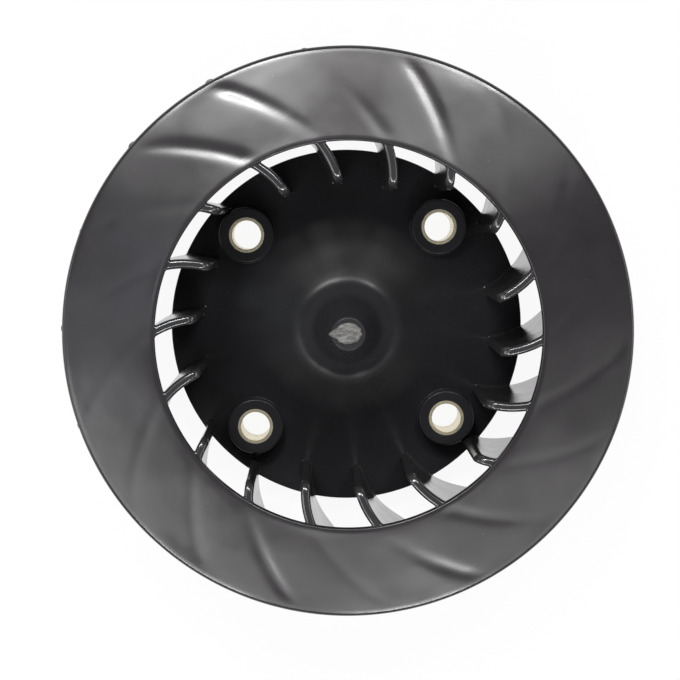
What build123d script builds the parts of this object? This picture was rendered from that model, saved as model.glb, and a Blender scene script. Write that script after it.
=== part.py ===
from build123d import *
import math
import os

# Radial cooling fan wheel of a scooter engine, in millimetres.
# The wheel lies on its back: Z = 0 is the plane in which it is bolted to the
# flywheel, +Z is its axis and points to the air inlet, and the four bolt
# holes are square to X and Y. One moulding carries the conical shroud, the
# hub and the blades, and a thin metal sleeve lines each bolt hole.

# Shroud, a conical ring that closes the blade passages in front
rim_diameter = 136.0
rim_height = 36.4
rim_edge_radius = 1.2
eye_diameter = 91.2
eye_height = 41.7
eye_edge_radius = 0.5
shroud_wall = 2.2
shroud_back_edge_radius = 0.5

# Hub disc, a shallow cone that rises from its edge to the post in the middle
mould_gap = 1.0
disc_edge_height = 3.4
disc_wall = 2.0
hub_cone_height = 14.6
disc_edge_radius = 0.5

# Post in the middle of the hub, hollow from behind, with the gate stub on top
post_foot_diameter = 17.4
post_foot_fillet = 5.0
post_top_diameter = 8.1
post_height = 34.5
post_wall = 2.2
post_top_wall = 4.0
post_edge_radius = 0.6

# Gate stub, where the moulding was cut off its runner
stub_length = 6.9
stub_width = 5.4
stub_height = 0.9
stub_point_reach = 1.5

# Bolt bosses and the metal sleeves in them
bolt_count = 4
bolt_circle_diameter = 68.3
first_bolt_bearing = 45.0
boss_diameter = 14.0
boss_height = 11.5
boss_edge_radius = 0.6
sleeve_bore = 7.3
sleeve_wall = 0.75
sleeve_edge_chamfer = 0.2

# Blades, curved along two arcs that meet without a corner
blade_count = 18
blade_thickness = 2.2
blade_inlet_radius = 35.9
blade_inlet_angle = 9.1
first_blade_bearing = -8.8
inner_arc_radius = 22.1
inner_arc_turn = 42.3
inner_arc_lead = 20.0
outer_arc_radius = 63.5
blade_crest_drop = 0.6
blade_corner_radius = 3.0
blade_crest_flat = 0.4
blade_bury = 0.4

# Blades beside a bolt boss start further out, to leave room for a spanner
tool_radius = 9.0
short_blade_gap = 0.4

# Half-round ejector bead along the outer edge of each blade
bead_radius = 1.6
bead_stand = 0.6
bead_drop = 0.3

# Sizes that follow from the ones above
rim_radius = rim_diameter / 2
eye_radius = eye_diameter / 2
disc_radius = eye_radius - mould_gap
post_foot_radius = post_foot_diameter / 2
post_top_radius = post_top_diameter / 2
bolt_circle_radius = bolt_circle_diameter / 2
boss_radius = boss_diameter / 2
sleeve_bore_radius = sleeve_bore / 2
sleeve_outer_radius = sleeve_bore_radius + sleeve_wall
short_blade_radius = bolt_circle_radius + boss_radius + short_blade_gap
bead_circle_radius = rim_radius + bead_stand - bead_radius
blade_edge_radius = (blade_thickness - blade_crest_flat) / 2
shroud_angle = math.atan2(eye_height - rim_height, rim_radius - eye_radius)
shroud_drop = shroud_wall / math.cos(shroud_angle)
disc_front_height = disc_edge_height + disc_wall
hub_angle = math.atan2(hub_cone_height - disc_front_height, disc_radius - post_foot_radius)


def hub_front(radius):
    """Height of the hub cone's front face at a radius."""
    return disc_front_height + (disc_radius - radius) * math.tan(hub_angle)


def shroud_front(radius):
    """Height of the shroud's front face at a radius."""
    return eye_height - (radius - eye_radius) * math.tan(shroud_angle)


def on_bearing(radius, bearing):
    """Point in the plan view at a radius and a bearing in degrees from X."""
    turn = math.radians(bearing)
    return Vector(radius * math.cos(turn), radius * math.sin(turn))


def turned(points, radii):
    """Solid turned about the axis from a closed section of radius and height points."""
    section = make_face(Plane.XZ * FilletPolyline(*points, radius=radii, close=True))
    return revolve(section, Axis.Z)


def shroud():
    """Conical ring from the eye out to the rim, with rounded edges."""
    points = [
        (eye_radius, eye_height),
        (rim_radius, rim_height),
        (rim_radius, rim_height - shroud_drop),
        (eye_radius, eye_height - shroud_drop),
    ]
    radii = [eye_edge_radius, rim_edge_radius, shroud_back_edge_radius, shroud_back_edge_radius]
    return turned(points, radii)


def hub():
    """Disc, shallow cone and hollow post, of about the same wall all over."""
    core_foot_radius = post_foot_radius - post_wall
    core_foot_height = hub_front(core_foot_radius) - disc_wall
    core_top_radius = post_top_radius - post_wall
    core_top_height = post_height - post_top_wall
    points = [
        (disc_radius, disc_edge_height),
        (disc_radius, disc_front_height),
        (post_foot_radius, hub_cone_height),
        (post_top_radius, post_height),
        (0, post_height),
        (0, core_top_height),
        (core_top_radius, core_top_height),
        (core_foot_radius, core_foot_height),
    ]
    core_fillet = post_foot_fillet - post_wall
    radii = [
        disc_edge_radius,
        disc_edge_radius,
        post_foot_fillet,
        post_edge_radius,
        0,
        0,
        core_top_radius / 2,
        core_fillet,
    ]
    return turned(points, radii)


def gate_stub():
    """Oval stub with a torn point on its left, as the cutter left it."""
    base = Plane.XY.offset(post_height - post_edge_radius)
    oval = base * Ellipse(stub_length / 2, stub_width / 2)
    body = extrude(oval, stub_height + post_edge_radius)
    point_root = stub_width / 3
    point = base * Polyline(
        (0, point_root),
        (-stub_length / 2 - stub_point_reach, 0),
        (0, -point_root),
        close=True,
    )
    return body + extrude(make_face(point), post_edge_radius + stub_height / 2)


def bolt_points():
    """Centres of the bolt holes in the plan view."""
    step = 360 / bolt_count
    return [on_bearing(bolt_circle_radius, first_bolt_bearing + step * k) for k in range(bolt_count)]


def boss():
    """Round boss for one bolt, with a rounded front edge."""
    post = extrude(Circle(boss_radius), boss_height)
    return fillet(post.edges().group_by(Axis.Z)[-1], boss_edge_radius)


def sleeve():
    """Thin metal sleeve as long as its boss, with its bore's edges broken."""
    tube = extrude(Circle(sleeve_outer_radius) - Circle(sleeve_bore_radius), boss_height)
    bore_edges = tube.edges().filter_by(GeomType.CIRCLE).filter_by(
        lambda edge: edge.radius < sleeve_bore_radius + sleeve_wall / 2
    )
    return chamfer(bore_edges, sleeve_edge_chamfer)


def camber(offset):
    """Camber line of the first blade in the plan view, moved to its left by an offset.

    The inner arc starts inside the inlet radius, to be cut there. The outer
    arc is a quarter turn, which always reaches past the rim.
    """
    heading = Vector(1, 0).rotate(Axis.Z, blade_inlet_angle)
    centre = Vector(blade_inlet_radius, 0) + heading.rotate(Axis.Z, 90) * inner_arc_radius
    start_bearing = blade_inlet_angle - 90 - inner_arc_lead
    inner = CenterArc(centre, inner_arc_radius - offset, start_bearing, inner_arc_lead + inner_arc_turn)
    outer = JernArc(inner @ 1, inner % 1, outer_arc_radius - offset, 90)
    return [inner, outer]


def blade_tip():
    """Point in the plan view where the first blade's camber line ends in its bead."""
    bead_circle = CenterArc((0, 0), bead_circle_radius, 0, 360)
    return camber(0)[1].intersect(bead_circle).vertices()[0].center()


def blade(inlet_radius):
    """First blade from its inlet radius out to the rim, with its front edge rounded.

    Its crest ends inside the shroud's wall, just behind the lip or, on a blade
    that starts behind the lip, just behind its rounded corner. Its foot stands
    in the disc's wall where there is disc under it.
    """
    left = camber(blade_thickness / 2)
    right = camber(-blade_thickness / 2)
    caps = [Line(left[0] @ 0, right[0] @ 0), Line(left[1] @ 1, right[1] @ 1)]
    plate = extrude(make_face(left + right + caps), max(eye_height, rim_height))
    covered_radius = max(eye_radius, inlet_radius + blade_corner_radius)
    buried_radius = covered_radius + mould_gap
    crest = shroud_front(covered_radius) - blade_crest_drop
    foot_radius = disc_radius - mould_gap
    foot = [(inlet_radius, disc_edge_height)]
    if inlet_radius < foot_radius:
        foot = [
            (foot_radius, disc_edge_height),
            (foot_radius, disc_front_height - disc_wall / 2),
            (inlet_radius, hub_front(inlet_radius) - disc_wall / 2),
        ]
    outline = [
        (inlet_radius, crest),
        (buried_radius, crest),
        (buried_radius, shroud_front(buried_radius) - shroud_drop + blade_bury),
        (bead_circle_radius, shroud_front(bead_circle_radius) - shroud_drop + blade_bury),
        (bead_circle_radius, disc_edge_height),
    ]
    radii = [blade_corner_radius] + [0] * (len(outline + foot) - 1)
    body = plate & turned(outline + foot, radii)

    def is_front(edge):
        """Whether an edge runs up the blade's nose or along its free crest."""
        start = edge @ 0
        end = edge @ 1
        reach = abs(math.hypot(end.X, end.Y) - math.hypot(start.X, start.Y))
        climb = abs(end.Z - start.Z)
        middle_radius = math.hypot(edge.center().X, edge.center().Y)
        if edge.center().Z < hub_front(inlet_radius):
            return False
        if reach < blade_thickness / 20:
            return climb > blade_thickness and middle_radius < inlet_radius + mould_gap / 4
        return middle_radius < buried_radius - mould_gap / 4

    return fillet(body.edges().filter_by(is_front), blade_edge_radius)


def bead():
    """Ejector bead of the first blade."""
    tip = blade_tip()
    height = rim_height - shroud_drop - bead_drop - disc_edge_height
    return Pos(tip.X, tip.Y, disc_edge_height) * extrude(Circle(bead_radius), height)


def fan_wheel():
    """The whole moulding: shroud, hub, bosses, blades and beads."""
    long_blade = blade(blade_inlet_radius)
    short_blade = blade(short_blade_radius)
    pieces = [hub(), gate_stub()]
    for point in bolt_points():
        pieces.append(Pos(point.X, point.Y, 0) * boss())
    for k in range(blade_count):
        bearing = first_blade_bearing + 360 / blade_count * k
        inlet = on_bearing(blade_inlet_radius, bearing)
        beside_boss = min((inlet - point).length for point in bolt_points()) < tool_radius
        pieces.append(Rot(0, 0, bearing) * (short_blade if beside_boss else long_blade))
        pieces.append(Rot(0, 0, bearing) * bead())
    wheel = shroud() + pieces
    for point in bolt_points():
        wheel -= Pos(point.X, point.Y, 0) * extrude(Circle(sleeve_outer_radius), boss_height)
    return wheel


def save(shape, node):
    """Write one node's solid to its file."""
    shape.label = node
    export_step(shape, f"parts/{node}.step")


os.makedirs("parts", exist_ok=True)
save(fan_wheel(), "fan_wheel")
for number, point in enumerate(bolt_points(), start=1):
    save(Pos(point.X, point.Y, 0) * sleeve(), f"bolt_sleeve_{number}")
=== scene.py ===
import bisect
import math

import bpy
from mathutils import Matrix, Vector, noise


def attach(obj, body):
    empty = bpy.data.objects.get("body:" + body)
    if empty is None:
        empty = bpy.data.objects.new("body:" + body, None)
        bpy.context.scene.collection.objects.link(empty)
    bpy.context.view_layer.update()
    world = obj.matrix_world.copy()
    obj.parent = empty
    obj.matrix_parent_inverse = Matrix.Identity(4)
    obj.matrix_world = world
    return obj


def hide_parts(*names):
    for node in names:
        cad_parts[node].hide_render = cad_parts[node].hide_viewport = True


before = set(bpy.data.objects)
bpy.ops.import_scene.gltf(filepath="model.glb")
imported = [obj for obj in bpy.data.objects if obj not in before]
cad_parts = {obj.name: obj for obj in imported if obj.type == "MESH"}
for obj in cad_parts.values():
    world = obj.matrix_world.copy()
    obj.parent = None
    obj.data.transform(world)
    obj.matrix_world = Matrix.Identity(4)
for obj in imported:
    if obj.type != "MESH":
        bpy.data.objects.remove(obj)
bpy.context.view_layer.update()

# Radial cooling fan wheel, lying on its back on the floor with its air inlet
# up. Sizes are in millimetres here and become metres as the meshes are made.
# A run is the longest straight stretch of a piece's outline, and its steps are
# those of a full turn.
MM = 0.001

# Shroud
RIM_RADIUS = 68.0
RIM_HEIGHT = 36.4
RIM_ROUND = 1.2
EYE_RADIUS = 45.6
EYE_HEIGHT = 41.7
EYE_ROUND = 0.5
SHROUD_WALL = 2.2
SHROUD_BACK_ROUND = 0.5
SHROUD_RUN = 0.9
SHROUD_STEPS = 540

# Hub and post
MOULD_GAP = 1.0
DISC_RADIUS = EYE_RADIUS - MOULD_GAP
DISC_EDGE_HEIGHT = 3.4
DISC_WALL = 2.0
DISC_ROUND = 0.5
CONE_HEIGHT = 14.6
POST_FOOT_RADIUS = 8.7
POST_TOP_RADIUS = 4.05
POST_HEIGHT = 34.5
POST_WALL = 2.2
POST_TOP_WALL = 4.0
POST_FILLET = 7.5
POST_ROUND = 0.6
HUB_RUN = 2.0
HUB_STEPS = 288

# Gate stub on the post: its oval, its torn point, the share and the closeness of
# the waves in its outline, its sides as rise and shares of length and width, and
# the rings of its face as shares of the one before
STUB_HALF_LENGTH = 3.3
STUB_HALF_WIDTH = 2.65
STUB_POINT_REACH = 1.35
STUB_POINT_SPREAD = 0.33
STUB_OFFSET = (-0.1, 0.15)
STUB_SUNK = 0.1
STUB_RAGGED = (0.10, 3.0)
STUB_SIDES = ((0.45, 0.97, 0.95), (0.25, 0.90, 0.88))
STUB_RINGS = (0.92, 0.9, 0.87, 0.83, 0.78, 0.7, 0.55, 0.3)
STUB_SMOOTHING = 50.0

# Waves of the stub's torn face: height, closeness along and across it, and place in
# the noise, with how far the face lies below them and how far they may stand out
STUB_TEARS = ((0.12, 1.6, 2.6, 3.0), (0.16, 0.6, 0.9, 7.0))
STUB_HOLLOW = 0.05
STUB_LIFT = 0.15

# Bosses and sleeves
BOLT_COUNT = 4
BOLT_STEP = 360.0 / BOLT_COUNT
FIRST_BOLT = 45.0
BOLT_CIRCLE_RADIUS = 34.15
BOSS_RADIUS = 7.0
BOSS_HEIGHT = 11.5
BOSS_ROUND = 0.6
BOSS_BACK_ROUND = 0.3
BOSS_SUNK = 1.5
SLEEVE_BORE_RADIUS = 3.65
SLEEVE_WALL = 0.75
SLEEVE_OUTER_RADIUS = SLEEVE_BORE_RADIUS + SLEEVE_WALL
SLEEVE_CHAMFER = 0.2
BOSS_RUN = 2.5
BOSS_STEPS = 96

# Blades
BLADE_COUNT = 18
BLADE_STEP = 360.0 / BLADE_COUNT
FIRST_BLADE = -8.8
BLADE_HALF = 1.1
INLET_RADIUS = 35.9
SHORT_BLADE_GAP = 0.4
SHORT_INLET_RADIUS = BOLT_CIRCLE_RADIUS + BOSS_RADIUS + SHORT_BLADE_GAP
INLET_ANGLE = 9.1
INNER_ARC_RADIUS = 22.1
INNER_ARC_TURN = 42.3
OUTER_ARC_RADIUS = 63.5
CREST_DROP = 0.6
CORNER_ROUND = 3.0
EDGE_ROUND = 0.9
ROOT_FILLET = 0.35
BACK_EDGE_ROUND = 0.25
BURIED_RADIUS = EYE_RADIUS + 0.4
BLADE_SMOOTHING = 40.0
TOOL_RADIUS = 9.0

# Sink marks that the blades leave in the shroud's front, by the blade's number from
# 0: depth, place from the lip (0) to the rim (1), and length as a share of that way.
# The other blades leave a faint one.
SINKS = {
    3: (0.22, 0.62, 0.45),
    4: (0.10, 0.20, 0.30),
    5: (0.26, 0.72, 0.50),
    6: (0.24, 0.35, 0.55),
    12: (0.17, 0.66, 0.40),
    14: (0.17, 0.74, 0.35),
    15: (0.13, 0.30, 0.45),
    17: (0.10, 0.55, 0.60),
}
FAINT_SINK = (0.035, 0.5, 1.2)
SINK_WIDTH = 1.9

# Slow swell of the shroud's front: height and breadth of its waves
SWELLS = ((0.10, 20.0), (0.04, 9.0))

# How far in from the lip and from the rim the marks and the swell set in, and over what way
LIP_FADE = (0.6, 2.0)
RIM_FADE = (0.9, 3.0)

# Beads on the blades' outer ends
BEAD_RADIUS = 1.6
BEAD_STAND = 0.6
BEAD_CIRCLE_RADIUS = RIM_RADIUS + BEAD_STAND - BEAD_RADIUS
BEAD_DROP = 0.3
BEAD_ROUND = 0.3

# How far the beads stand out of the rim, by the bearings between which they lie
BEAD_STANDS = ((25.0, 88.0, 0.08), (100.0, 150.0, 0.60), (160.0, 200.0, 0.52))
PLAIN_BEAD_STAND = 0.35

# Painted light on the hub, scaling its colour by distance from the axis as a share of a reach:
# lighter over the post and its foot and at the disc's edge, where shade and dark reflections fall
HUB_PAINTED_LIGHT_REACH = 45.0
HUB_PAINTED_LIGHT_TONES = ((0.0, 0.62), (0.22, 0.60), (0.32, 0.25), (0.5, 0.26), (0.85, 0.52), (1.0, 0.58))

# Sizes that follow from the ones above
SHROUD_SLOPE = (EYE_HEIGHT - RIM_HEIGHT) / (RIM_RADIUS - EYE_RADIUS)
SHROUD_DROP = SHROUD_WALL * math.hypot(1.0, SHROUD_SLOPE)
DISC_FRONT = DISC_EDGE_HEIGHT + DISC_WALL
HUB_SLOPE = (CONE_HEIGHT - DISC_FRONT) / (DISC_RADIUS - POST_FOOT_RADIUS)


def hub_front(radius):
    """Height of the hub cone's front face at a radius."""
    return DISC_FRONT + (DISC_RADIUS - radius) * HUB_SLOPE


def shroud_back(radius):
    """Height of the shroud's back face at a radius."""
    return EYE_HEIGHT - SHROUD_DROP - (radius - EYE_RADIUS) * SHROUD_SLOPE


def on_bearing(radius, bearing):
    """Point in the plan view at a radius and a bearing in degrees from X."""
    turn = math.radians(bearing)
    return Vector((radius * math.cos(turn), radius * math.sin(turn)))


# Outlines in the meridian plane, as lists of radius and height

def rounded(corners, radii, steps=6):
    """Closed outline with each corner replaced by an arc of its own radius."""
    outline = []
    count = len(corners)
    for k, radius in enumerate(radii):
        corner = Vector(corners[k])
        before = (Vector(corners[k - 1]) - corner).normalized()
        after = (Vector(corners[(k + 1) % count]) - corner).normalized()
        if radius == 0:
            outline.append(corner)
            continue
        half = before.angle(after) / 2
        middle = corner + (before + after).normalized() * (radius / math.sin(half))
        start = corner + before * (radius / math.tan(half))
        turn = math.pi - 2 * half
        side = 1 if before.cross(after) < 0 else -1
        arm = start - middle
        for step in range(steps + 1):
            outline.append(middle + Matrix.Rotation(side * turn * step / steps, 2) @ arm)
    return outline


def refined(outline, longest):
    """The same closed outline with its long runs cut into shorter ones."""
    finer = []
    for k, point in enumerate(outline):
        following = outline[(k + 1) % len(outline)]
        pieces = max(1, math.ceil((following - point).length / longest))
        if point.x == 0 and following.x == 0:
            pieces = 1
        finer.extend(point.lerp(following, step / pieces) for step in range(pieces))
    return finer


def distance_outside(point, corners, inset):
    """Distance from a point to a polygon drawn in by an inset and rounded by it, negative inside."""
    nearest = math.inf
    inside = True
    count = len(corners)
    for k in range(count):
        a = Vector(corners[k])
        b = Vector(corners[(k + 1) % count])
        along = (b - a).normalized()
        share = max(inset, min((b - a).length - inset, (point - a).dot(along)))
        foot = a + along * share + Vector((-along.y, along.x)) * inset
        nearest = min(nearest, (point - foot).length)
        if along.cross(point - a) < inset:
            inside = False
    return (-nearest if inside else nearest) - inset


# Mesh helpers. Every operator acts on what is selected, so each starts clean.

def deselect():
    """Leave edit mode and select nothing."""
    if bpy.context.object and bpy.context.object.mode != "OBJECT":
        bpy.ops.object.mode_set(mode="OBJECT")
    bpy.ops.object.select_all(action="DESELECT")


def take(piece):
    """Make one piece the only one selected."""
    deselect()
    piece.select_set(True)
    bpy.context.view_layer.objects.active = piece


def edit(piece):
    """Open one piece for editing with all of it selected."""
    take(piece)
    bpy.ops.object.mode_set(mode="EDIT")
    bpy.ops.mesh.select_all(action="SELECT")


def closed_up(piece, merge=1e-7):
    """Merge doubles and turn the faces outwards."""
    edit(piece)
    bpy.ops.mesh.remove_doubles(threshold=merge)
    bpy.ops.mesh.normals_make_consistent(inside=False)
    bpy.ops.object.mode_set(mode="OBJECT")


def smooth(piece, degrees=32.0):
    """Smooth shading that keeps real corners sharp."""
    take(piece)
    bpy.ops.object.shade_smooth_by_angle(angle=math.radians(degrees))


def turned(name, outline, steps, centre=(0.0, 0.0)):
    """Piece turned from a closed outline about an upright axis, less its run along that axis."""
    deselect()
    bpy.ops.mesh.primitive_circle_add(vertices=len(outline), radius=MM, fill_type="NOTHING")
    piece = bpy.context.object
    piece.name = name
    middle = Vector((centre[0], centre[1], 0.0)) * MM
    for vertex, point in zip(piece.data.vertices, outline):
        vertex.co = middle + Vector((point.x, 0.0, point.y)) * MM
    on_axis = [point.x == 0 for point in outline]
    bpy.ops.object.mode_set(mode="EDIT")
    bpy.ops.mesh.select_mode(type="EDGE")
    bpy.ops.mesh.select_all(action="DESELECT")
    bpy.ops.object.mode_set(mode="OBJECT")
    for edge in piece.data.edges:
        edge.select = all(on_axis[k] for k in edge.vertices)
    bpy.ops.object.mode_set(mode="EDIT")
    bpy.ops.mesh.delete(type="EDGE")
    bpy.ops.mesh.select_all(action="SELECT")
    bpy.ops.mesh.spin(steps=steps, angle=math.tau, center=middle, axis=(0, 0, 1))
    bpy.ops.object.mode_set(mode="OBJECT")
    closed_up(piece)
    return piece


def copied(source, name, bearing=0.0):
    """Copy with its own mesh, turned about the wheel's axis."""
    mesh = source.data.copy()
    mesh.transform(Matrix.Rotation(math.radians(bearing), 4, "Z"))
    piece = bpy.data.objects.new(name, mesh)
    mesh.name = name
    bpy.context.scene.collection.objects.link(piece)
    return piece


def joined(name, pieces):
    """One piece from several."""
    deselect()
    for piece in pieces:
        piece.select_set(True)
    bpy.context.view_layer.objects.active = pieces[0]
    bpy.ops.object.join()
    pieces[0].name = name
    pieces[0].data.name = name
    return pieces[0]


# Camber line of the first blade

def camber_table(degrees=0.05, lead_length=2, cuts=10, past_rim=90.0):
    """Radius, bearing and heading along the camber line of the first blade.

    A short straight lead comes before the inlet, and the outer arc goes on past the rim.
    """
    heading = math.radians(INLET_ANGLE)
    step = math.radians(degrees)
    lead = Vector((math.cos(heading), math.sin(heading)))
    point = Vector((INLET_RADIUS, 0.0))
    rows = []
    for k in range(lead_length * cuts, 0, -1):
        behind = point - lead * (k / cuts)
        rows.append((behind.length, math.atan2(behind.y, behind.x), heading))
    for radius, turn in ((INNER_ARC_RADIUS, INNER_ARC_TURN), (OUTER_ARC_RADIUS, past_rim)):
        centre = point + Vector((-math.sin(heading), math.cos(heading))) * radius
        for _ in range(round(math.radians(turn) / step)):
            rows.append((point.length, math.atan2(point.y, point.x), heading))
            heading += step
            point = centre + Vector((math.sin(heading), -math.cos(heading))) * radius
    return rows


CAMBER = camber_table()
CAMBER_RADII = [row[0] for row in CAMBER]


def camber_at(radius):
    """Point, left-hand normal and bearing of the camber line at a radius."""
    k = max(1, min(bisect.bisect_left(CAMBER_RADII, radius), len(CAMBER) - 1))
    low, high = CAMBER[k - 1], CAMBER[k]
    share = max(0.0, min(1.0, (radius - low[0]) / (high[0] - low[0])))
    bearing = low[1] + (high[1] - low[1]) * share
    heading = low[2] + (high[2] - low[2]) * share
    point = Vector((math.cos(bearing), math.sin(bearing))) * radius
    return point, Vector((-math.sin(heading), math.cos(heading))), bearing


def beside_camber(radius, offset, tries=4):
    """Point at an offset to the left of the camber line that is itself at the radius."""
    abreast = radius
    for _ in range(tries):
        point, normal, _ = camber_at(abreast)
        place = point + normal * offset
        abreast += radius - place.length
    return place


# Blades

# Walls that the blades run into, with the shroud's drawn on past the rim
PAST_RIM = RIM_RADIUS + 4.0
SHROUD_SECTION = [
    (EYE_RADIUS, EYE_HEIGHT - SHROUD_DROP),
    (PAST_RIM, shroud_back(PAST_RIM)),
    (PAST_RIM, shroud_back(PAST_RIM) + SHROUD_DROP),
    (EYE_RADIUS, EYE_HEIGHT),
]
HUB_SECTION = [
    (POST_FOOT_RADIUS, CONE_HEIGHT - DISC_WALL),
    (DISC_RADIUS, DISC_EDGE_HEIGHT),
    (DISC_RADIUS, DISC_FRONT),
    (POST_FOOT_RADIUS, CONE_HEIGHT),
]


def root_flare(radius, height):
    """How much wider a blade's side is where it runs into the shroud or the hub."""
    point = Vector((radius, height))
    near = min(
        distance_outside(point, SHROUD_SECTION, SHROUD_BACK_ROUND),
        distance_outside(point, HUB_SECTION, DISC_ROUND),
    )
    reach = max(0.0, min(ROOT_FILLET, near))
    return ROOT_FILLET - math.sqrt(ROOT_FILLET ** 2 - (ROOT_FILLET - reach) ** 2)


def edge_rounding(depth, radius, half):
    """Half width of a blade at a depth under its rounded edge."""
    reach = min(radius, max(0.0, depth))
    return half - radius + math.sqrt(radius ** 2 - (radius - reach) ** 2)


def crest_height(radius, inlet):
    """Top of the blade's outline, round its front corner, along its crest and inside the shroud."""
    crest = EYE_HEIGHT - CREST_DROP
    into_corner = inlet + CORNER_ROUND - radius
    if into_corner > 0:
        drop = CORNER_ROUND - math.sqrt(max(0.0, CORNER_ROUND ** 2 - into_corner ** 2))
        return crest - drop
    if radius <= BURIED_RADIUS:
        return crest
    return min(crest, shroud_back(radius) + SHROUD_DROP / 2)


def foot_height(radius):
    """Bottom of the blade's outline, inside the hub's wall and level behind the shroud."""
    if radius < DISC_RADIUS - MOULD_GAP:
        return hub_front(radius) - DISC_WALL / 2
    return DISC_EDGE_HEIGHT


def depth_below_front(radius, height, inlet):
    """Distance from a point of the outline to its free front edge."""
    corner = Vector((inlet + CORNER_ROUND, EYE_HEIGHT - CREST_DROP - CORNER_ROUND))
    point = Vector((radius, height))
    if radius < corner.x and height > corner.y:
        return CORNER_ROUND - (point - corner).length
    if radius < corner.x:
        return radius - inlet
    if radius < EYE_RADIUS + MOULD_GAP:
        return min(radius - inlet, EYE_HEIGHT - CREST_DROP - height)
    return EDGE_ROUND


def spread(start, end, count):
    """Even steps from a start, left out, to an end."""
    return [start + (end - start) * k / count for k in range(1, count + 1)]


def stations(inlet):
    """Radii at which a blade's section is drawn, close together at its nose and at the lip."""
    nose = [EDGE_ROUND * (1 - math.cos(math.radians(turn))) for turn in range(0, 91, 15)]
    radii = [inlet + step for step in nose]
    radii += spread(inlet + EDGE_ROUND, inlet + CORNER_ROUND, count=8)
    before_lip, usual_run = 0.1, 0.8
    lip = EYE_RADIUS - ROOT_FILLET - before_lip
    radii += spread(radii[-1], lip, count=max(1, round((lip - radii[-1]) / usual_run)))
    radii += spread(lip, EYE_RADIUS + MOULD_GAP, count=10)
    radii += spread(radii[-1], BEAD_CIRCLE_RADIUS, count=30)
    return radii


def heights(radius, inlet):
    """Heights at which a blade's side is drawn at one radius, from its foot to its top."""
    foot = foot_height(radius)
    top = crest_height(radius, inlet)
    least_foot, foot_share = 0.3, 0.3
    low = foot + least_foot
    if radius < DISC_RADIUS:
        low = max(low, hub_front(radius))
    high = top
    if radius > BURIED_RADIUS:
        high = min(top, shroud_back(radius))
    low_steps = [0.0, 0.12, 0.3, 0.55, 0.85, 1.15]
    high_steps = [2.4, 1.9, 1.5, 1.15, 0.9, 0.7, 0.5, 0.33, 0.2, 0.09, 0.03, 0.0]
    rows = [foot, foot + (low - foot) * foot_share]
    rows += [low + step for step in low_steps]
    rows += spread(rows[-1], high - high_steps[0], count=8)[:-1]
    rows += [high - step for step in high_steps]
    rows += [(high + top) / 2, top]
    return rows


def half_width(radius, height, inlet):
    """Half width of a blade at a point of its outline."""
    width = edge_rounding(depth_below_front(radius, height, inlet), EDGE_ROUND, BLADE_HALF)
    clear_of_disc = 0.3
    if radius > DISC_RADIUS + clear_of_disc:
        back_width = edge_rounding(height - DISC_EDGE_HEIGHT, BACK_EDGE_ROUND, BLADE_HALF)
        width = min(width, back_width)
    return width + root_flare(radius, height)


def blade_side(inlet, side):
    """One side of a blade, from a grid laid along the camber line."""
    radii = stations(inlet)
    ladder = [heights(radius, inlet) for radius in radii]
    columns = len(radii) - 1
    rows = len(ladder[0]) - 1
    deselect()
    bpy.ops.mesh.primitive_grid_add(x_subdivisions=columns, y_subdivisions=rows, size=2.0)
    grid = bpy.context.object
    for vertex in grid.data.vertices:
        column = round((vertex.co.x + 1) / 2 * columns)
        row = round((vertex.co.y + 1) / 2 * rows)
        radius = radii[column]
        height = ladder[column][row]
        place = beside_camber(radius, side * half_width(radius, height, inlet))
        vertex.co = Vector((place.x, place.y, height)) * MM
    return grid


def bead_model():
    """Ejector bead of the first blade, with softened ends."""
    tip, _, _ = camber_at(BEAD_CIRCLE_RADIUS)
    height = RIM_HEIGHT - SHROUD_DROP - BEAD_DROP - DISC_EDGE_HEIGHT
    deselect()
    bpy.ops.mesh.primitive_cylinder_add(
        vertices=32, radius=BEAD_RADIUS * MM, depth=height * MM,
        location=(tip.x * MM, tip.y * MM, (DISC_EDGE_HEIGHT + height / 2) * MM))
    bead = bpy.context.object
    bpy.ops.object.transform_apply(location=True, rotation=True, scale=True)
    bevel = bead.modifiers.new("ends", "BEVEL")
    bevel.width = BEAD_ROUND * MM
    bevel.segments = 3
    bevel.limit_method = "ANGLE"
    take(bead)
    bpy.ops.object.modifier_apply(modifier=bevel.name)
    smooth(bead, BLADE_SMOOTHING)
    return bead


def bead_stand(bearing):
    """How far the bead at a bearing stands out of the rim."""
    for start, end, stand in BEAD_STANDS:
        if start <= bearing % 360.0 <= end:
            return stand
    return PLAIN_BEAD_STAND


def blade_model(name, inlet):
    """A whole blade: two sides bridged along their borders."""
    blade = joined(name, [blade_side(inlet, 1), blade_side(inlet, -1)])
    edit(blade)
    bpy.ops.mesh.select_mode(type="EDGE")
    bpy.ops.mesh.select_all(action="DESELECT")
    bpy.ops.mesh.select_non_manifold(
        extend=False, use_wire=False, use_boundary=True,
        use_multi_face=False, use_non_contiguous=False, use_verts=False)
    bpy.ops.mesh.bridge_edge_loops()
    bpy.ops.object.mode_set(mode="OBJECT")
    closed_up(blade)
    smooth(blade, BLADE_SMOOTHING)
    return blade


def blade_copy(model, bead, name, bearing):
    """Copy of a blade at a bearing, with its bead sunk into the rim as far as the real one is."""
    tip, _, tip_bearing = camber_at(BEAD_CIRCLE_RADIUS)
    blade = copied(model, name, bearing)
    sunk = BEAD_STAND - bead_stand(bearing + math.degrees(tip_bearing))
    own_bead = copied(bead, "bead", bearing)
    inward = Matrix.Rotation(math.radians(bearing), 2) @ -tip.normalized() * sunk * MM
    own_bead.data.transform(Matrix.Translation((inward.x, inward.y, 0.0)))
    return joined(name, [blade, own_bead])


# Shroud with its sink marks

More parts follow.
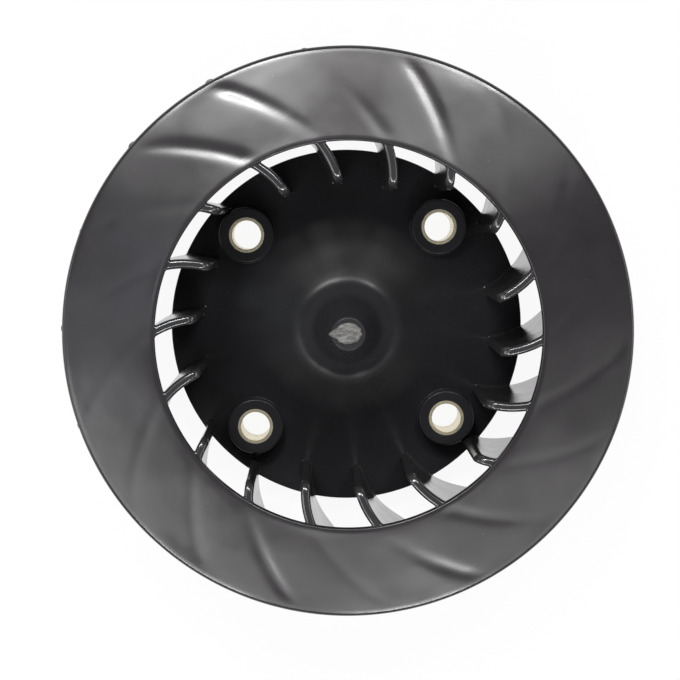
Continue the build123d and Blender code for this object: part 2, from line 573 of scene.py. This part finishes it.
def sink_depth(radius, bearing):
    """Depth of the sink marks and of the slow swell in the shroud's front."""
    _, _, camber_bearing = camber_at(radius)
    place = (math.degrees(bearing - camber_bearing) - FIRST_BLADE) / BLADE_STEP
    blade = round(place)
    across = math.radians((place - blade) * BLADE_STEP) * radius
    outward = (radius - EYE_RADIUS) / (RIM_RADIUS - EYE_RADIUS)
    depth, middle, length = SINKS.get(blade % BLADE_COUNT, FAINT_SINK)
    mark = depth * math.exp(-((across / SINK_WIDTH) ** 2) - ((outward - middle) / length) ** 2)
    here = Vector((radius * math.cos(bearing), radius * math.sin(bearing), 0.0))
    swell = sum(height * noise.noise(here / breadth) for height, breadth in SWELLS)
    from_lip = (radius - EYE_RADIUS - LIP_FADE[0]) / LIP_FADE[1]
    from_rim = (RIM_RADIUS - RIM_FADE[0] - radius) / RIM_FADE[1]
    return (mark + swell) * max(0.0, min(1.0, from_lip, from_rim))


def shroud_piece():
    """Conical ring with rounded edges and a sink mark over each blade."""
    corners = [
        (EYE_RADIUS, EYE_HEIGHT),
        (EYE_RADIUS, EYE_HEIGHT - SHROUD_DROP),
        (RIM_RADIUS, RIM_HEIGHT - SHROUD_DROP),
        (RIM_RADIUS, RIM_HEIGHT),
    ]
    radii = [EYE_ROUND, SHROUD_BACK_ROUND, SHROUD_BACK_ROUND, RIM_ROUND]
    shroud = turned("shroud", refined(rounded(corners, radii), SHROUD_RUN), SHROUD_STEPS)
    slope = math.hypot(1.0, SHROUD_SLOPE)
    normal_out = SHROUD_SLOPE / slope
    normal_up = 1.0 / slope
    skin = 0.3
    for vertex in shroud.data.vertices:
        x, y, z = vertex.co / MM
        radius = math.hypot(x, y)
        behind_front = shroud_back(radius) + SHROUD_DROP - z
        if behind_front > skin:
            continue
        depth = sink_depth(radius, math.atan2(y, x))
        moved = radius - depth * normal_out
        vertex.co = Vector((x * moved / radius, y * moved / radius, z - depth * normal_up)) * MM
    smooth(shroud)
    return shroud


# Hub with its post

def bolt_points():
    """Centres of the bolt holes in the plan view."""
    return [on_bearing(BOLT_CIRCLE_RADIUS, FIRST_BOLT + BOLT_STEP * k) for k in range(BOLT_COUNT)]


def hub_piece():
    """Disc, shallow cone and hollow post, opened for the bosses."""
    core_foot = POST_FOOT_RADIUS - POST_WALL
    core_top = POST_TOP_RADIUS - POST_WALL
    corners = [
        (0.0, POST_HEIGHT - POST_TOP_WALL),
        (core_top, POST_HEIGHT - POST_TOP_WALL),
        (core_foot, hub_front(core_foot) - DISC_WALL),
        (DISC_RADIUS, DISC_EDGE_HEIGHT),
        (DISC_RADIUS, DISC_FRONT),
        (POST_FOOT_RADIUS, CONE_HEIGHT),
        (POST_TOP_RADIUS, POST_HEIGHT),
        (0.0, POST_HEIGHT),
    ]
    core_fillet = POST_FILLET - POST_WALL
    radii = [0, core_top / 2, core_fillet, DISC_ROUND, DISC_ROUND, POST_FILLET, POST_ROUND, 0]
    hub = turned("hub", refined(rounded(corners, radii, steps=10), HUB_RUN), HUB_STEPS)
    inside_boss = 1.0
    for point in bolt_points():
        deselect()
        bpy.ops.mesh.primitive_cylinder_add(
            vertices=64, radius=(BOSS_RADIUS - inside_boss) * MM, depth=2 * CONE_HEIGHT * MM,
            location=(point.x * MM, point.y * MM, CONE_HEIGHT / 2 * MM))
        cutter = bpy.context.object
        cut = hub.modifiers.new("opening", "BOOLEAN")
        cut.operation = "DIFFERENCE"
        cut.solver = "EXACT"
        cut.object = cutter
        take(hub)
        bpy.ops.object.modifier_apply(modifier=cut.name)
        bpy.data.objects.remove(cutter)
    smooth(hub)
    return hub


# Bosses and sleeves

def boss_model():
    """Boss with a rounded top and a foot that flares into the cone."""
    seat = hub_front(BOLT_CIRCLE_RADIUS)
    flare_sunk = 0.6
    corners = [
        (SLEEVE_OUTER_RADIUS, 0.0),
        (BOSS_RADIUS, 0.0),
        (BOSS_RADIUS, seat - BOSS_SUNK),
        (BOSS_RADIUS + ROOT_FILLET, seat - flare_sunk),
        (BOSS_RADIUS + ROOT_FILLET, seat),
        (BOSS_RADIUS, seat),
        (BOSS_RADIUS, BOSS_HEIGHT),
        (SLEEVE_OUTER_RADIUS, BOSS_HEIGHT),
    ]
    radii = [0, BOSS_BACK_ROUND, 0, 0, 0, ROOT_FILLET, BOSS_ROUND, 0]
    point = bolt_points()[0]
    boss = turned("boss", refined(rounded(corners, radii), BOSS_RUN), BOSS_STEPS, point)
    margin = 0.1
    lowest = seat - BOSS_SUNK - margin
    highest = seat + ROOT_FILLET + margin
    for vertex in boss.data.vertices:
        x, y, z = vertex.co / MM
        away = math.hypot(x - point.x, y - point.y)
        if lowest < z < highest and away > BOSS_RADIUS - margin:
            vertex.co.z += (hub_front(math.hypot(x, y)) - seat) * MM
    smooth(boss)
    return boss


def sleeve_model():
    """Rolled metal sleeve with its bore's edges broken."""
    corners = [
        (SLEEVE_BORE_RADIUS, SLEEVE_CHAMFER),
        (SLEEVE_BORE_RADIUS + SLEEVE_CHAMFER, 0.0),
        (SLEEVE_OUTER_RADIUS, 0.0),
        (SLEEVE_OUTER_RADIUS, BOSS_HEIGHT),
        (SLEEVE_BORE_RADIUS + SLEEVE_CHAMFER, BOSS_HEIGHT),
        (SLEEVE_BORE_RADIUS, BOSS_HEIGHT - SLEEVE_CHAMFER),
    ]
    outline = [Vector(corner) for corner in corners]
    sleeve = turned("sleeve", refined(outline, BOSS_RUN), BOSS_STEPS, bolt_points()[0])
    smooth(sleeve)
    return sleeve


# Gate stub

def stub_edge(bearing):
    """Point of the stub's ragged outline at a bearing in radians."""
    way = Vector((math.cos(bearing), math.sin(bearing)))
    reach = Vector((STUB_HALF_LENGTH * way.x, STUB_HALF_WIDTH * way.y))
    reach.x -= STUB_POINT_REACH * math.exp(-(((math.pi - abs(bearing)) / STUB_POINT_SPREAD) ** 2))
    ragged, closeness = STUB_RAGGED
    reach *= 1.0 + ragged * noise.noise(way.to_3d() * closeness)
    return reach + Vector(STUB_OFFSET)


def stub_lift(x, y):
    """How far the stub's torn face stands up at a point of the plan view."""
    lift = -STUB_HOLLOW
    for height, along, across, level in STUB_TEARS:
        lift += height * noise.noise(Vector((x * along, y * across, level)))
    return min(lift, STUB_LIFT)


def gate_stub_piece():
    """Oval end of the post with a torn face and a torn point on its left."""
    deselect()
    base = POST_HEIGHT - STUB_SUNK
    bpy.ops.mesh.primitive_circle_add(vertices=96, radius=MM, fill_type="NGON")
    stub = bpy.context.object
    stub.name = "gate_stub"
    for vertex in stub.data.vertices:
        place = stub_edge(math.atan2(vertex.co.y, vertex.co.x))
        vertex.co = Vector((place.x, place.y, base)) * MM
    edit(stub)
    for rise, length_share, width_share in STUB_SIDES:
        bpy.ops.mesh.extrude_region_move(TRANSFORM_OT_translate={"value": (0, 0, rise * MM)})
        bpy.ops.transform.resize(value=(length_share, width_share, 1.0))
    for share in STUB_RINGS:
        bpy.ops.mesh.extrude_region_move(TRANSFORM_OT_translate={"value": (0, 0, 0)})
        bpy.ops.transform.resize(value=(share, share, 1.0))
    bpy.ops.mesh.merge(type="CENTER")
    bpy.ops.object.mode_set(mode="OBJECT")
    face = base + STUB_SIDES[0][0] + STUB_SIDES[1][0] / 2
    for vertex in stub.data.vertices:
        x, y, z = vertex.co / MM
        if z > face:
            vertex.co.z += stub_lift(x, y) * MM
    closed_up(stub)
    smooth(stub, STUB_SMOOTHING)
    return stub


# Materials

WHITE = (1, 1, 1, 1)
BLACK = (0, 0, 0, 1)


def grey(tone):
    """Plain grey of a linear tone."""
    return (tone, tone, tone, 1)


def srgb(red, green, blue):
    """Linear colour of an sRGB one."""
    def linear(value):
        share = value / 255.0
        return share / 12.92 if share <= 0.04045 else ((share + 0.055) / 1.055) ** 2.4
    return (linear(red), linear(green), linear(blue), 1.0)


class Finish:
    """Node material with the steps that the finishes here share."""

    def __init__(self, name):
        self.material = bpy.data.materials.new(name)
        self.material.use_nodes = True
        self.nodes = self.material.node_tree.nodes
        self.links = self.material.node_tree.links
        self.shader = self.nodes["Principled BSDF"]
        self.place = self.nodes.new("ShaderNodeTexCoord").outputs["Object"]

    def link(self, output, target):
        """Link an output to an input."""
        self.links.new(output, target)

    def shade(self, colour, roughness, normal):
        """Link what the shader's colour, roughness and surface are made of."""
        self.link(colour, self.shader.inputs["Base Color"])
        self.link(roughness, self.shader.inputs["Roughness"])
        self.link(normal, self.shader.inputs["Normal"])

    def noise(self, scale, detail=4.0, roughness=0.55, place=None):
        """Noise over the piece, with its scale in features per metre."""
        node = self.nodes.new("ShaderNodeTexNoise")
        node.inputs["Scale"].default_value = scale
        node.inputs["Detail"].default_value = detail
        node.inputs["Roughness"].default_value = roughness
        self.link(place or self.place, node.inputs["Vector"])
        return node.outputs["Fac"]

    def radius(self, reach):
        """Distance from the wheel's axis, 1 at the reach in millimetres."""
        flat = self.nodes.new("ShaderNodeMapping")
        flat.inputs["Scale"].default_value = (1.0 / (reach * MM), 1.0 / (reach * MM), 0.0)
        self.link(self.place, flat.inputs["Vector"])
        length = self.nodes.new("ShaderNodeVectorMath")
        length.operation = "LENGTH"
        self.link(flat.outputs["Vector"], length.inputs[0])
        return length.outputs["Value"]

    def tinted(self, colour, tone):
        """Product of a colour and a tone."""
        node = self.nodes.new("ShaderNodeMix")
        node.data_type = "RGBA"
        node.blend_type = "MULTIPLY"
        node.inputs["Factor"].default_value = 1.0
        self.link(colour, node.inputs["A"])
        self.link(tone, node.inputs["B"])
        return node.outputs["Result"]

    def spots(self, scale, size):
        """Sparse round spots, 1 on a spot and 0 off it."""
        node = self.nodes.new("ShaderNodeTexVoronoi")
        node.inputs["Scale"].default_value = scale
        node.inputs["Randomness"].default_value = 1.0
        self.link(self.place, node.inputs["Vector"])
        return self.ramp(node.outputs["Distance"], [(0.0, WHITE), (size, BLACK)])

    def ramp(self, value, stops):
        """Colour ramp of a value."""
        node = self.nodes.new("ShaderNodeValToRGB")
        elements = node.color_ramp.elements
        while len(elements) < len(stops):
            elements.new(0.5)
        for element, (position, colour) in zip(elements, stops):
            element.position = position
            element.color = colour
        self.link(value, node.inputs["Fac"])
        return node.outputs["Color"]

    def mapped(self, value, low, high, least=0.3, most=0.7):
        """A noise, which lies between least and most, spread from low to high."""
        node = self.nodes.new("ShaderNodeMapRange")
        node.inputs["From Min"].default_value = least
        node.inputs["From Max"].default_value = most
        node.inputs["To Min"].default_value = low
        node.inputs["To Max"].default_value = high
        self.link(value, node.inputs["Value"])
        return node.outputs["Result"]

    def mixed(self, share, low, high):
        """Mix of two colours or outputs by a share."""
        node = self.nodes.new("ShaderNodeMix")
        node.data_type = "RGBA"
        self.link(share, node.inputs["Factor"])
        for value, socket in ((low, node.inputs["A"]), (high, node.inputs["B"])):
            if isinstance(value, tuple):
                socket.default_value = value
            else:
                self.link(value, socket)
        return node.outputs["Result"]

    def product(self, first, second):
        """Product of two values."""
        node = self.nodes.new("ShaderNodeMath")
        node.operation = "MULTIPLY"
        for value, socket in ((first, node.inputs[0]), (second, node.inputs[1])):
            if isinstance(value, float):
                socket.default_value = value
            else:
                self.link(value, socket)
        return node.outputs["Value"]

    def bump(self, height, depth, under=None):
        """Bump of a height map, with its depth in millimetres, over the bump under it."""
        node = self.nodes.new("ShaderNodeBump")
        node.inputs["Strength"].default_value = 1.0
        node.inputs["Distance"].default_value = depth * MM
        self.link(height, node.inputs["Height"])
        if under is not None:
            self.link(under, node.inputs["Normal"])
        return node.outputs["Normal"]


def moulded_black(name, dark, light, rough, dust, refraction=1.53, painted_light_tones=None):
    """Black moulded plastic: slight colour drift, a soft shine, fine ripple and a little dust.

    Painted light: its colour is scaled by its distance from the wheel's axis, darkening it less
    where its shading is dark.
    """
    finish = Finish(name)
    drift = finish.mapped(finish.noise(scale=70.0, detail=3.0), low=0.0, high=1.0)
    colour = finish.mixed(drift, dark, light)
    # Painted light: a ramp by distance from the axis lightens the colour where the piece lies in
    # shade
    if painted_light_tones:
        stops = [(share, grey(tone)) for share, tone in painted_light_tones]
        colour = finish.tinted(colour, finish.ramp(finish.radius(HUB_PAINTED_LIGHT_REACH), stops))
    dusty = finish.ramp(finish.noise(scale=60.0, detail=2.0), [(0.50, BLACK), (0.62, WHITE)])
    specks = finish.product(finish.spots(scale=420.0, size=0.055), dusty)
    colour = finish.mixed(finish.product(specks, dust), colour, srgb(150, 150, 148))
    low, high = rough
    roughness = finish.mapped(finish.noise(scale=160.0, detail=5.0), low, high)
    ripple = finish.bump(finish.noise(scale=120.0, detail=2.0), depth=0.03)
    grain = finish.bump(finish.noise(scale=2600.0, detail=2.0), depth=0.004, under=ripple)
    finish.shade(colour, roughness, grain)
    finish.shader.inputs["IOR"].default_value = refraction
    return finish.material


def torn_plastic():
    """Plastic where the gate was cut: greyer, rough and streaked."""
    finish = Finish("torn_plastic")
    streak = finish.nodes.new("ShaderNodeMapping")
    streak.inputs["Scale"].default_value = (0.35, 1.0, 1.0)
    finish.link(finish.place, streak.inputs["Vector"])
    lines = finish.noise(scale=1500.0, detail=4.0, roughness=0.6, place=streak.outputs["Vector"])
    stops = [(0.32, srgb(58, 58, 59)), (0.55, srgb(98, 97, 94)), (0.75, srgb(140, 138, 132))]
    roughness = finish.mapped(lines, low=0.55, high=0.4)
    finish.shade(finish.ramp(lines, stops), roughness, finish.bump(lines, depth=0.08))
    return finish.material


def yellow_zinc():
    """Pale yellow plated steel, a little cloudy."""
    finish = Finish("yellow_zinc")
    cloud = finish.mapped(finish.noise(scale=500.0, detail=3.0), low=0.0, high=1.0)
    colour = finish.mixed(cloud, srgb(240, 226, 184), srgb(222, 213, 192))
    roughness = finish.mapped(finish.noise(scale=900.0, detail=4.0), low=0.2, high=0.38)
    grain = finish.bump(finish.noise(scale=1800.0, detail=3.0), depth=0.01)
    finish.shade(colour, roughness, grain)
    finish.shader.inputs["Metallic"].default_value = 0.75
    return finish.material


def seen_white(material, shader_output, share):
    """Mix plain white into what the camera and reflections see of a material."""
    nodes = material.node_tree.nodes
    links = material.node_tree.links
    path = nodes.new("ShaderNodeLightPath")
    glow = nodes.new("ShaderNodeEmission")
    glow.inputs["Color"].default_value = WHITE
    seen = path.outputs["Is Camera Ray"]
    for kind in ("Is Glossy Ray", "Is Transmission Ray"):
        either = nodes.new("ShaderNodeMath")
        either.operation = "MAXIMUM"
        links.new(seen, either.inputs[0])
        links.new(path.outputs[kind], either.inputs[1])
        seen = either.outputs["Value"]
    part = nodes.new("ShaderNodeMath")
    part.operation = "MULTIPLY"
    part.inputs[1].default_value = share
    links.new(seen, part.inputs[0])
    mix = nodes.new("ShaderNodeMixShader")
    links.new(part.outputs["Value"], mix.inputs["Fac"])
    links.new(shader_output, mix.inputs[1])
    links.new(glow.outputs["Emission"], mix.inputs[2])
    return mix.outputs["Shader"]


def pale_floor():
    """Pale studio floor that the camera sees as nearly white."""
    finish = Finish("pale_floor")
    cloud = finish.noise(scale=4.0, detail=2.0)
    colour = finish.mixed(cloud, (0.80, 0.80, 0.79, 1), (0.84, 0.84, 0.83, 1))
    finish.link(colour, finish.shader.inputs["Base Color"])
    finish.shader.inputs["Roughness"].default_value = 0.7
    seen = seen_white(finish.material, finish.shader.outputs["BSDF"], share=0.93)
    finish.link(seen, finish.nodes["Material Output"].inputs["Surface"])
    return finish.material


def dress(piece, material):
    """Give a piece one material."""
    piece.data.materials.clear()
    piece.data.materials.append(material)


# The wheel

def beside_boss(bearing):
    """Whether a blade's inlet at a bearing is too near a boss for a spanner."""
    inlet = on_bearing(INLET_RADIUS, bearing)
    return min((inlet - point).length for point in bolt_points()) < TOOL_RADIUS


def make_moulding(shroud_black):
    """The moulding's pieces, dressed, riding on the frame and standing for its node."""
    # The hub's colour has painted light in it by distance from the axis, and the bosses share it
    hub_black_painted_light = moulded_black(
        "hub_black_painted_light", srgb(54, 54, 56), srgb(60, 60, 63), rough=(0.22, 0.30), dust=0.35,
        refraction=1.26, painted_light_tones=HUB_PAINTED_LIGHT_TONES)
    blade_black = moulded_black(
        "blade_black", srgb(38, 38, 39), srgb(44, 44, 45), rough=(0.13, 0.20), dust=0.3,
        refraction=1.8)
    pieces = [
        (shroud_piece(), shroud_black),
        (hub_piece(), hub_black_painted_light),
        (gate_stub_piece(), torn_plastic()),
    ]
    long_blade = blade_model("long_blade", INLET_RADIUS)
    short_blade = blade_model("short_blade", SHORT_INLET_RADIUS)
    bead = bead_model()
    for number in range(BLADE_COUNT):
        bearing = FIRST_BLADE + BLADE_STEP * number
        model = short_blade if beside_boss(bearing) else long_blade
        pieces.append((blade_copy(model, bead, f"blade_{number + 1:02d}", bearing), blade_black))
    boss = boss_model()
    for number in range(BOLT_COUNT):
        pieces.append((copied(boss, f"boss_{number + 1}", BOLT_STEP * number), hub_black_painted_light))
    for piece, material in pieces:
        dress(piece, material)
        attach(piece, "root")
        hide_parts("fan_wheel")
    for model in (long_blade, short_blade, bead, boss):
        bpy.data.objects.remove(model)


def make_sleeves(zinc):
    """The sleeves in the bolt holes, dressed, riding on the frame and standing for their nodes."""
    sleeve = sleeve_model()
    for number in range(BOLT_COUNT):
        lining = copied(sleeve, f"sleeve_{number + 1}", BOLT_STEP * number)
        dress(lining, zinc)
        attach(lining, "root")
        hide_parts(f"bolt_sleeve_{number + 1}")
    bpy.data.objects.remove(sleeve)


def make_wheel():
    """The moulding and its sleeves, with the frame's own nodes dressed like them."""
    shroud_black = moulded_black(
        "shroud_black", srgb(35, 33, 34), srgb(42, 39, 41), rough=(0.16, 0.23), dust=0.5)
    make_moulding(shroud_black)
    zinc = yellow_zinc()
    make_sleeves(zinc)
    for name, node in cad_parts.items():
        dress(node, zinc if name.startswith("bolt_sleeve") else shroud_black)


# Camera, floor and light

# Lamps: name, bearing and angle from the axis in degrees, size in metres, radiance
# and, where it isn't white, colour. The ring of large ones is what the shroud
# mirrors all round, the narrow bright ones are the streaks in its sink marks, and
# the two low ones at the sides catch the upright faces.
LAMPS = (
    ("above", 88.0, 34.0, (0.50, 0.14), 2.3, (1.0, 0.97, 0.985)),
    ("above_middle_right", 66.0, 34.0, (0.17, 0.14), 3.2),
    ("above_middle_left", 110.0, 34.0, (0.24, 0.14), 4.4),
    ("above_left", 136.0, 38.0, (0.30, 0.24), 1.8),
    ("above_right", 43.0, 38.0, (0.30, 0.24), 2.0),
    ("left", 190.0, 42.0, (0.42, 0.28), 0.9, (0.90, 0.94, 1.0)),
    ("left_glow", 168.0, 29.5, (0.26, 0.11), 1.8, (0.80, 0.88, 1.0)),
    ("below_left", 214.0, 45.0, (0.55, 0.26), 3.5),
    ("below", 262.0, 44.0, (0.65, 0.20), 2.8),
    ("below_right", 308.0, 45.0, (0.60, 0.26), 2.3),
    ("right", 343.0, 43.0, (0.22, 0.26), 0.7),
    ("streak_above_1", 59.0, 40.5, (0.22, 0.09), 34.0),
    ("streak_above_2", 84.0, 40.5, (0.22, 0.09), 14.0),
    ("streak_above_3", 104.0, 40.5, (0.22, 0.09), 44.0),
    ("streak_above_4", 121.0, 40.5, (0.22, 0.09), 30.0),
    ("streak_below_1", 238.0, 50.0, (0.32, 0.08), 24.0),
    ("streak_below_2", 281.0, 50.0, (0.32, 0.08), 24.0),
    ("side_left", 185.0, 68.0, (0.70, 0.30), 2.5),
    ("side_right", -5.0, 72.0, (0.70, 0.24), 2.5),
)


def make_camera():
    """Camera above the wheel, a little off its axis, as the photograph was taken.

    The wheel's axes and the middle of its lip are given as the camera sees them:
    to its right, downwards and away from it.
    """
    focal_pixels = 1700.0
    frame_pixels = 680.0
    sensor = 36.0
    roll = math.radians(2.45)
    up_axis = Vector((0.0127, 0.0803, -0.9967)).normalized()
    x_axis = Vector((math.cos(roll), -math.sin(roll), 0.0))
    x_axis = (x_axis - up_axis * x_axis.dot(up_axis)).normalized()
    y_axis = up_axis.cross(x_axis)
    to_camera = Matrix((x_axis, y_axis, up_axis)).transposed()
    inside_lip = 1.8
    lip = Vector((0.0, 0.0, EYE_HEIGHT - inside_lip))
    lip_seen = Vector((2.10, -0.99, 399.64))
    place = (lip - to_camera.transposed() @ lip_seen) * MM
    right = to_camera.transposed() @ Vector((1, 0, 0))
    up = to_camera.transposed() @ Vector((0, -1, 0))
    back = to_camera.transposed() @ Vector((0, 0, -1))
    data = bpy.data.cameras.new("camera")
    data.sensor_width = sensor
    data.lens = focal_pixels / frame_pixels * sensor
    data.clip_start = 0.01
    camera = bpy.data.objects.new("camera", data)
    turn = Matrix((right, up, back)).transposed().to_4x4()
    camera.matrix_world = Matrix.Translation(place) @ turn
    bpy.context.scene.collection.objects.link(camera)
    bpy.context.scene.camera = camera


def softbox(name, bearing, off_axis, size, radiance, colour=(1, 1, 1)):
    """Soft lamp a metre from the wheel and facing it, by its bearing and its angle from the axis."""
    data = bpy.data.lights.new(name, "AREA")
    data.shape = "RECTANGLE"
    data.size, data.size_y = size
    data.energy = radiance * math.pi * size[0] * size[1]
    data.color = colour
    lamp = bpy.data.objects.new(name, data)
    lean = math.radians(off_axis)
    turn = math.radians(bearing)
    away = Vector((math.sin(lean) * math.cos(turn), math.sin(lean) * math.sin(turn), math.cos(lean)))
    across = Vector((-math.sin(turn), math.cos(turn), 0.0))
    facing = Matrix((across, away.cross(across), away)).transposed().to_4x4()
    lamp.matrix_world = Matrix.Translation(away) @ facing
    lamp.visible_camera = False
    bpy.context.scene.collection.objects.link(lamp)


def make_studio():
    """Floor, white surroundings and soft lamps."""
    floor_size, floor_gap = 6.0, 0.05
    deselect()
    bpy.ops.mesh.primitive_plane_add(size=floor_size, location=(0, 0, -floor_gap * MM))
    floor = bpy.context.object
    floor.name = "floor"
    dress(floor, pale_floor())
    world = bpy.data.worlds.new("studio")
    world.use_nodes = True
    bpy.context.scene.world = world
    nodes, links = world.node_tree.nodes, world.node_tree.links
    room = nodes["Background"]
    room.inputs["Color"].default_value = (0.16, 0.165, 0.175, 1)
    white = nodes.new("ShaderNodeBackground")
    white.inputs["Color"].default_value = WHITE
    path = nodes.new("ShaderNodeLightPath")
    mix = nodes.new("ShaderNodeMixShader")
    links.new(path.outputs["Is Camera Ray"], mix.inputs["Fac"])
    links.new(room.outputs["Background"], mix.inputs[1])
    links.new(white.outputs["Background"], mix.inputs[2])
    links.new(mix.outputs["Shader"], nodes["World Output"].inputs["Surface"])
    for lamp in LAMPS:
        softbox(*lamp)


make_camera()
make_wheel()
make_studio()
bpy.context.scene.view_settings.view_transform = "Standard"
